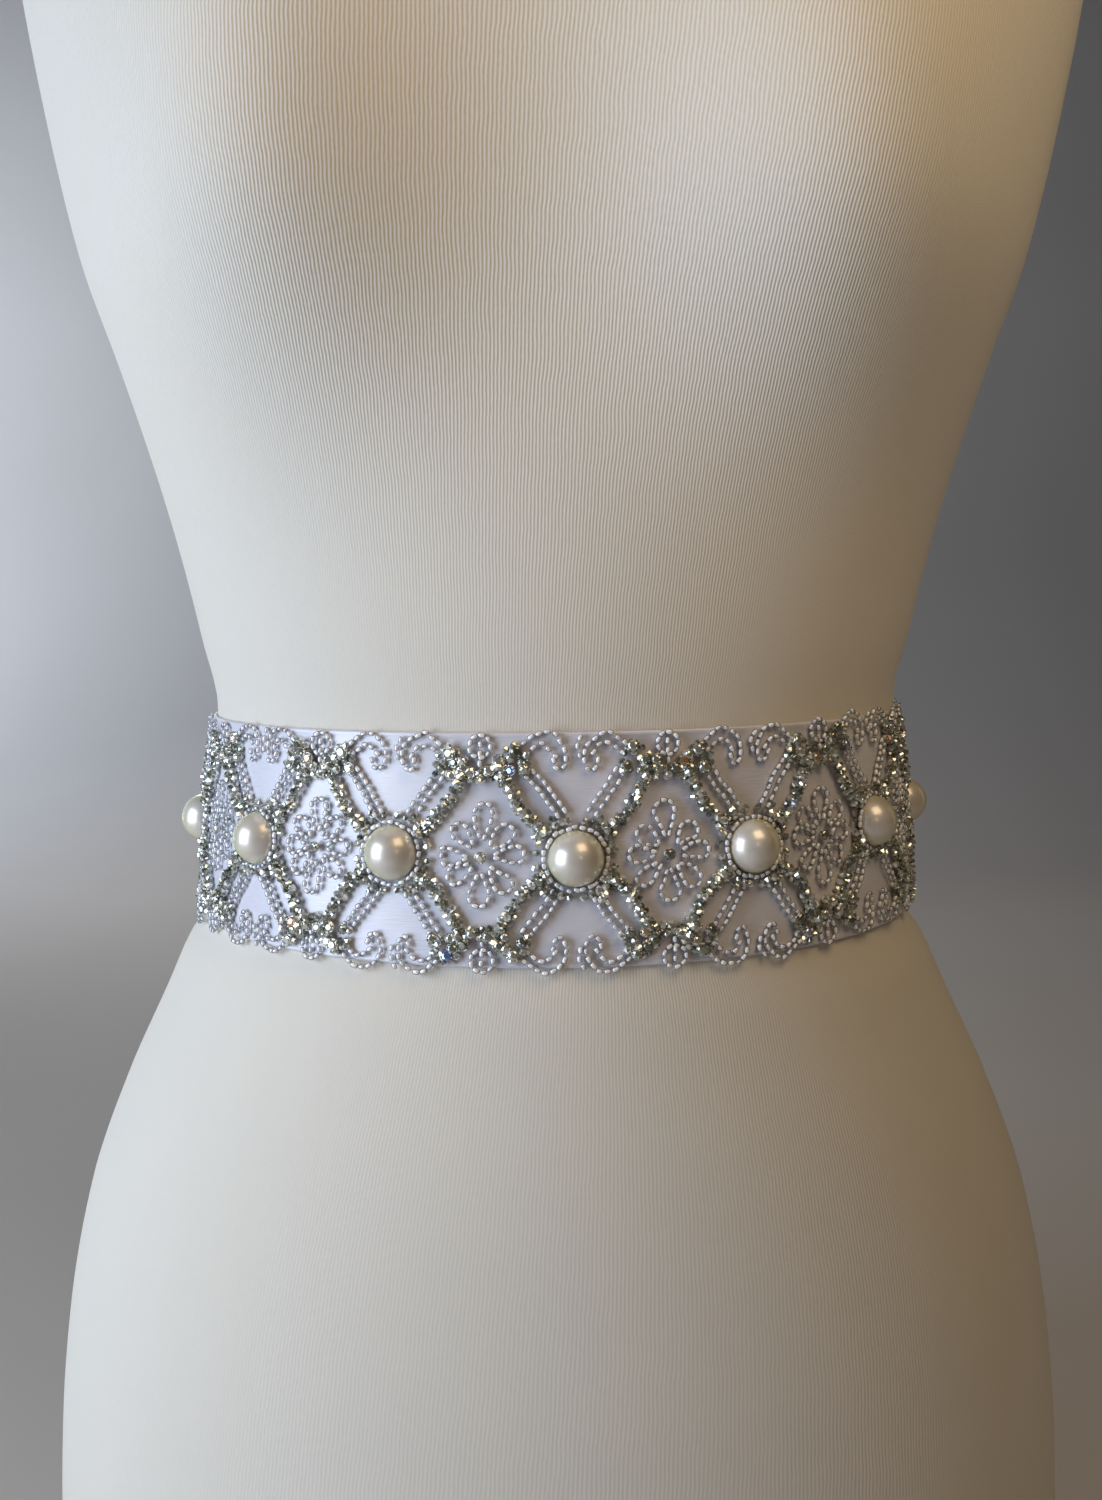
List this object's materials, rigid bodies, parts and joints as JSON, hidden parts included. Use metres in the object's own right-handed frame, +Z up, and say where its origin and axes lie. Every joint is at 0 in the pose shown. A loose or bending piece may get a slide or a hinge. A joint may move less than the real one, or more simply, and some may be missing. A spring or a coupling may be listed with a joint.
{
  "type": "beaded bridal sash on a limbless dress form",
  "caption": "Wide satin ribbon sash with an openwork beaded applique and domed pearls, worn at the waist of a limbless dress form with a flat base.",
  "frame": {"origin": "centre of the dress form's flat base, on the axis of the waist section", "axes": "+Z up, the dress form faces -Y, +X to the right of the person looking at its front"},
  "size_m": [0.351, 0.249, 0.78],
  "materials": {
    "jersey": "matt ribbed knit",
    "satin": "satin weave",
    "beads": "silver-lined glass beads and rhinestones",
    "pearl": "pearl lustre"
  },
  "bodies": {
    "root": {"dress_form": "jersey", "satin_ribbon": "satin", "beaded_applique": "beads", "pearl_01": "pearl", "pearl_02": "pearl", "pearl_03": "pearl", "pearl_04": "pearl", "pearl_05": "pearl", "pearl_06": "pearl", "pearl_07": "pearl", "pearl_08": "pearl", "pearl_09": "pearl", "pearl_10": "pearl", "pearl_11": "pearl"}
  },
  "joints": []
}
